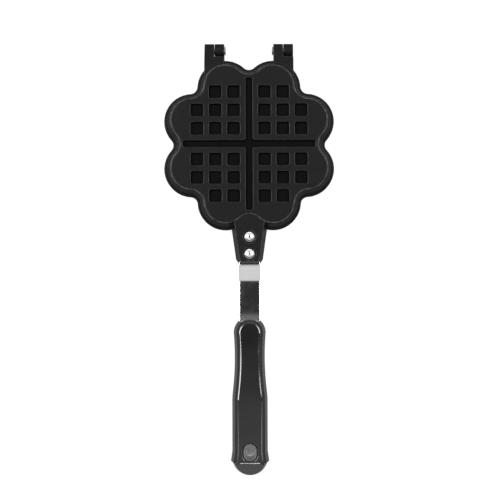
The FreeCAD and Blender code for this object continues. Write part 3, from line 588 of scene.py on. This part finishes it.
spun, tree, shader = start_metal("spun_rivet")
reach = marked_radius(tree)
line = place_lines(tree, RIVET_LINES, reach)
hazed = smudged_gloss(tree, RIVET_SMUDGES, RIVET_GLOSS)
stamped = spread(tree, reach, 1.0, 0.0, STAMP_INNER, STAMP_OUTER)
gloss = blend_gloss(tree, stamped, hazed, STAMP_GLOSS)
finish_shader(tree, shader, blend_tones(tree, line, RIVET_DULL, RIVET_BRIGHT), gloss, line, RIVET_RELIEF)
for half in HALVES:
    for spot in SPOTS:
        node = f"{half}_{spot}_rivet"
        rivet = lift_mesh(node)
        round_edges(rivet, sharp_edges(rivet), RIVET_EDGE, RIVET_EDGE_STEPS)
        mark_radius(rivet, node)
        seat_piece(rivet, node, spun)

# Threaded inserts
# A brass sleeve is moulded into the grip for each screw. Crossed knurling on its outside keeps it from
# turning in the resin.
BRASS_BRIGHT = (0.72, 0.52, 0.2, 1)
BRASS_DULL = (0.5, 0.34, 0.11, 1)
BRASS_GLOSS = (0.4, 0.25)
KNURL_FINENESS = 900.0
KNURL_RELIEF = 0.1 * MM
UPSIDE_DOWN = (1, 1, -1)


def slanted_ridges(tree, place):
    """Ridges that run slanted round the sleeve."""
    feeds = {"Vector": place, "Scale": KNURL_FINENESS}
    return wire(tree, "ShaderNodeTexWave", feeds, bands_direction="DIAGONAL").outputs["Fac"]


knurled, tree, shader = start_metal("knurled_insert")
place = wire(tree, "ShaderNodeTexCoord").outputs["Object"]
turned_over = wire(tree, "ShaderNodeVectorMath", {0: place, 1: UPSIDE_DOWN}, operation="MULTIPLY")
other_way = slanted_ridges(tree, turned_over.outputs[0])
crossed = reckon(tree, "MULTIPLY", slanted_ridges(tree, place), other_way)
brass = blend_tones(tree, crossed, BRASS_DULL, BRASS_BRIGHT)
finish_shader(tree, shader, brass, spread(tree, crossed, *BRASS_GLOSS), crossed, KNURL_RELIEF)
for half in HALVES:
    for spot in SPOTS:
        frame["nodes"][f"{half}_{spot}_insert"].data.materials[0] = knurled

# Half grips
# Each half is pressed from black phenolic resin in a polished mould, so it is glossy, with a faint flow mark
# and the soft waviness of a thick moulding. Its slanted end meets the top in a ridge that is painted pale as
# a highlight line, and its other edges are painted faintly lighter as wear. A hanging hole runs through it.
GRIP_EDGE = 0.22 * MM
GRIP_EDGE_STEPS = 2
GRIP_SHARP_TURN = 25
GRIP_EDGE_WEAR = 0.05
RIDGE_EDGE = 0.5 * MM
RIDGE_EDGE_STEPS = 3
RIDGE_LEAST_TURN = 30
RIDGE_MOST_TURN = 60
RIDGE_LEAST_WIDTH = 10 * MM
RESIN_DARK = (0.0068, 0.0068, 0.007, 1)
RESIN_LIGHT = (0.0098, 0.0098, 0.0101, 1)
# The pale tone is a painted highlight along the ridge, with faint wear on the grip's other edges.
RESIN_WORN_AND_HIGHLIT = (0.42, 0.42, 0.42, 1)
RESIN_GLOSS = (0.05, 0.1)
RESIN_GRAIN = {"mottle": 55.0, "pimple": 420.0}
RESIN_WEAR_AND_HIGHLIGHT = {"patches": 250.0, "least": 0.8, "amount": 1.0}
RESIN_SMUDGES = 40.0
RESIN_RELIEF = 0.003 * MM

resin, tree, shader = start_material("moulded_grip")
grain = place_group(tree, skin_grain, **RESIN_GRAIN)
wear = place_group(tree, edge_wear, **RESIN_WEAR_AND_HIGHLIGHT)
moulded = blend_tones(tree, grain.outputs["mottle"], RESIN_DARK, RESIN_LIGHT)
handled_and_highlit = blend_tones(tree, wear.outputs["wear"], moulded, RESIN_WORN_AND_HIGHLIT)
hazed = smudged_gloss(tree, RESIN_SMUDGES, RESIN_GLOSS)
finish_shader(tree, shader, handled_and_highlit, hazed, grain.outputs["pimple"], RESIN_RELIEF)


def ridge_edges(shape):
    """The level edge across the top of the grip where the slanted end begins."""
    found = []
    for edge in sharp_edges(shape, RIDGE_LEAST_TURN):
        first, second = (vert.co for vert in edge.verts)
        if abs(first.x - second.x) > RIDGE_LEAST_WIDTH and not turns(edge, RIDGE_MOST_TURN):
            found.append(edge)
    return found


for half in HALVES:
    grip = lift_mesh(f"{half}_grip")
    # The ridge is marked in full: a painted highlight line.
    round_edges(grip, ridge_edges(grip), RIDGE_EDGE, RIDGE_EDGE_STEPS)
    round_edges(grip, sharp_edges(grip, GRIP_SHARP_TURN), GRIP_EDGE, GRIP_EDGE_STEPS, lightened_mark=GRIP_EDGE_WEAR)
    seat_piece(grip, f"{half}_grip", resin)

# Grip screws
# Two zinc-plated countersunk screws go through each strip's tang into the inserts, with their heads flush
# with the steel. The driver's cross is pressed into the head, and no two stopped at the same turn.
CROSS_MOUTH = {"reach": 2.0 * MM, "half_width": 0.55 * MM}
CROSS_FOOT = {"reach": 1.1 * MM, "half_width": 0.3 * MM}
CROSS_DEPTH = 1.3 * MM
FIRST_TURN = 0.3
TURN_BETWEEN = 0.55
SCREW_EDGE = 0.12 * MM
SCREW_EDGE_STEPS = 2
ZINC_BRIGHT = (0.6, 0.61, 0.63, 1)
ZINC_DULL = (0.42, 0.43, 0.45, 1)
ZINC_GLOSS = (0.26, 0.38)
ZINC_WEAR = {"patches": 900.0, "amount": 1.0}
ZINC_LINES = 6000.0
ZINC_RELIEF = 0.004 * MM


def cross_points(centre, turn, height, reach, half_width):
    """The twelve corners of a driver's cross."""
    corners = [(reach, -half_width), (reach, half_width), (half_width, half_width)]
    points = []
    for quarter in range(4):
        angle = turn + quarter * math.pi / 2
        for across, up in corners:
            x = centre.x + across * math.cos(angle) - up * math.sin(angle)
            y = centre.y + across * math.sin(angle) + up * math.cos(angle)
            points.append(Vector((x, y, height)))
    return points


def sink_cross(shape, node, inward, turn):
    """Press a driver's cross into the flat of the screw's head."""
    low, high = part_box(node)
    centre = (low + high) / 2
    face_height = low.z if inward > 0 else high.z
    flat = max(faces_at(shape, face_height), key=lambda face: face.calc_area())
    outline = list(flat.edges)
    bmesh.ops.delete(shape, geom=[flat], context="FACES_ONLY")
    mouth = [shape.verts.new(point) for point in cross_points(centre, turn, face_height, **CROSS_MOUTH)]
    foot_height = face_height + inward * CROSS_DEPTH
    foot = [shape.verts.new(point) for point in cross_points(centre, turn, foot_height, **CROSS_FOOT)]
    mouth_edges = [shape.edges.new((mouth[i - 1], mouth[i])) for i in range(len(mouth))]
    bmesh.ops.triangle_fill(shape, edges=outline + mouth_edges, use_beauty=True)
    for i in range(len(mouth)):
        shape.faces.new((mouth[i - 1], mouth[i], foot[i], foot[i - 1]))
    shape.faces.new(foot)
    bmesh.ops.recalc_face_normals(shape, faces=shape.faces)


plated, tree, shader = start_metal("plated_screw")
line = place_lines(tree, ZINC_LINES, marked_radius(tree))
wear = place_group(tree, edge_wear, **ZINC_WEAR)
plating = blend_tones(tree, line, ZINC_DULL, ZINC_BRIGHT)
bared = blend_tones(tree, wear.outputs["wear"], plating, PIN_BRIGHT)
finish_shader(tree, shader, bared, spread(tree, line, *ZINC_GLOSS), line, ZINC_RELIEF)
turn = FIRST_TURN
for half in HALVES:
    for spot in SPOTS:
        node = f"{half}_{spot}_screw"
        screw = lift_mesh(node)
        round_edges(screw, sharp_edges(screw), SCREW_EDGE, SCREW_EDGE_STEPS)
        sink_cross(screw, node, -INWARD[half], turn)
        mark_radius(screw, node)
        seat_piece(screw, node, plated)
        turn += TURN_BETWEEN

# Floor
# A sheet of white paper that glows evenly, with a painted shade, taken from ambient occlusion, where hardly
# any light would reach.
# It lights nothing itself: the iron mirrors a dim table instead, as in a studio with dark cloth about.
PAPER_HALF = 3.0
PAPER_DROP = 0.2 * MM
PAPER_SHADE = 0.07
PAPER_LIGHT = 1.05
SHADE_REACH = 40 * MM
SHADE_BAND = (0.086, 0.33)
SHADE_SAMPLES = 8
BLACK = (0, 0, 0, 1)
WHITE = (1, 1, 1, 1)
floor_mesh = bpy.data.meshes.new("floor")
floor_shape = bmesh.new()
bmesh.ops.create_grid(floor_shape, x_segments=1, y_segments=1, size=PAPER_HALF)
floor_shape.to_mesh(floor_mesh)
floor_shape.free()
floor = bpy.data.objects.new("floor", floor_mesh)
floor.location = (0, 0, -PAPER_DROP)
floor.visible_diffuse = False
floor.visible_glossy = False
bpy.context.scene.collection.objects.link(floor)
paper, tree, shader = start_material("white_paper")
shader.inputs["Base Color"].default_value = BLACK
shader.inputs["Specular IOR Level"].default_value = 0
shader.inputs["Emission Color"].default_value = WHITE
# Painted shade: the glow drops to grey by ambient occlusion, as under the hanging hole.
open_sky = wire(tree, "ShaderNodeAmbientOcclusion", {"Distance": SHADE_REACH}, samples=SHADE_SAMPLES)
glow_with_painted_shade = spread(tree, open_sky.outputs["AO"], PAPER_SHADE, PAPER_LIGHT, *SHADE_BAND)
tree.links.new(glow_with_painted_shade, shader.inputs["Emission Strength"])
floor_mesh.materials.append(paper)

# Studio light
# A dim room with a dark ceiling round the camera, soft boxes and cards hung about it, and a pale wall all
# round that is dimmer in front, where a low glow makes up for it. A panel is a patch of the sky, measured
# as far across and as far up the photo per unit of height.
ROOM_LEVEL = 0.15
TABLE_LEVEL = 0.3
TABLE_EDGE = (-0.05, 0.02)
LEAST_HEIGHT = 0.02
CEILING_LEVEL = 0.03
CEILING = {"across": (-0.27, 0.27), "up": (-0.1, 0.28), "soft": 0.05}
PANELS = {
    "left soft box": {"across": (-0.95, -0.4), "up": (-0.1, 0.5), "soft": 0.012, "level": 22.0},
    "right soft box": {"across": (0.4, 0.95), "up": (-0.06, 0.5), "soft": 0.012, "level": 17.0},
    "left card": {"across": (-1.0, -0.4), "up": (-0.3, -0.142), "soft": 0.008, "level": 3.0},
    "right card": {"across": (0.4, 1.0), "up": (-0.3, -0.142), "soft": 0.008, "level": 4.0},
    "front card": {"across": (-0.4, 0.4), "up": (-0.75, -0.1), "soft": 0.05, "level": 0.5},
    "foot of the front card": {"across": (-0.6, 0.6), "up": (-0.75, -0.38), "soft": 0.2, "level": 0.35},
    "back card": {"across": (-0.7, 0.7), "up": (0.34, 2.0), "soft": 0.16, "level": 0.6},
}
WALL_LEVEL = 0.7
WALL_BAND = (0.1, 0.6)
WALL_SOFT = 0.08
WALL_IN_FRONT = 0.3
WALL_DIMS_OVER = (-0.1, 0.5)
FRONT_GLOW = 0.75
FRONT_BAND = (-0.4, 0.3)
FRONT_SOFT = 0.1
FRONT_COMES_OVER = (0.6, 0.9)

world = bpy.data.worlds.new("studio")
world.use_nodes = True
bpy.context.scene.world = world
sky = world.node_tree
look = wire(sky, "ShaderNodeTexCoord")
along = wire(sky, "ShaderNodeSeparateXYZ", {0: look.outputs["Generated"]}).outputs


def soft_step(value, start, end):
    """A smooth rise from 0 to 1 as the value goes from start to end."""
    feeds = {"Value": value, "From Min": start, "From Max": end, "To Min": 0.0, "To Max": 1.0}
    return wire(sky, "ShaderNodeMapRange", feeds, interpolation_type="SMOOTHSTEP").outputs["Result"]


def between(value, ends, soft):
    """1 where the value lies between two ends, with soft edges."""
    rising = soft_step(value, ends[0] - soft, ends[0] + soft)
    return reckon(sky, "SUBTRACT", rising, soft_step(value, ends[1] - soft, ends[1] + soft))


def patch_of_sky(across, up, soft):
    """1 inside a soft-edged rectangle of the sky."""
    return reckon(sky, "MULTIPLY", between(sky_across, across, soft), between(sky_up, up, soft))


def add_light(light, mask, level):
    """The light so far, and as much more as the mask lets in."""
    return reckon(sky, "ADD", light, reckon(sky, "MULTIPLY", mask, level))


height = reckon(sky, "MAXIMUM", along["Z"], LEAST_HEIGHT)
sky_across = reckon(sky, "DIVIDE", along["X"], height)
sky_up = reckon(sky, "DIVIDE", along["Y"], height)
light = add_light(ROOM_LEVEL, patch_of_sky(**CEILING), CEILING_LEVEL - ROOM_LEVEL)
for panel in PANELS.values():
    lit = patch_of_sky(panel["across"], panel["up"], panel["soft"])
    light = add_light(light, lit, panel["level"])
over_table = reckon(sky, "SUBTRACT", light, TABLE_LEVEL)
light = add_light(TABLE_LEVEL, soft_step(along["Z"], *TABLE_EDGE), over_table)
towards_front = reckon(sky, "MULTIPLY", along["Y"], -1.0)
dimming = soft_step(towards_front, *WALL_DIMS_OVER)
wall = spread(sky, dimming, WALL_LEVEL, WALL_LEVEL * WALL_IN_FRONT)
light = add_light(light, between(along["Z"], WALL_BAND, WALL_SOFT), wall)
in_front = soft_step(towards_front, *FRONT_COMES_OVER)
low_down = between(along["Z"], FRONT_BAND, FRONT_SOFT)
light = add_light(light, reckon(sky, "MULTIPLY", in_front, low_down), FRONT_GLOW)
sky.nodes["Background"].inputs["Color"].default_value = WHITE
sky.links.new(light, sky.nodes["Background"].inputs["Strength"])

# Camera
# A long lens, hung straight above the middle of the iron so that its sides hardly show. It is tipped a
# little towards the hinge and rolled by a hair.
CAMERA_PLACE = (0.375 * MM, -109.0 * MM, 915 * MM)
CAMERA_TILT = 1.53
CAMERA_ROLL = -0.19
CAMERA_LENS = 79.76
CAMERA_SENSOR = 36
camera_data = bpy.data.cameras.new("camera")
camera_data.lens = CAMERA_LENS
camera_data.sensor_width = CAMERA_SENSOR
camera = bpy.data.objects.new("camera", camera_data)
camera.location = CAMERA_PLACE
camera.rotation_euler = (math.radians(CAMERA_TILT), 0, math.radians(CAMERA_ROLL))
bpy.context.scene.collection.objects.link(camera)
bpy.context.scene.camera = camera
bpy.context.scene.view_settings.view_transform = "Standard"
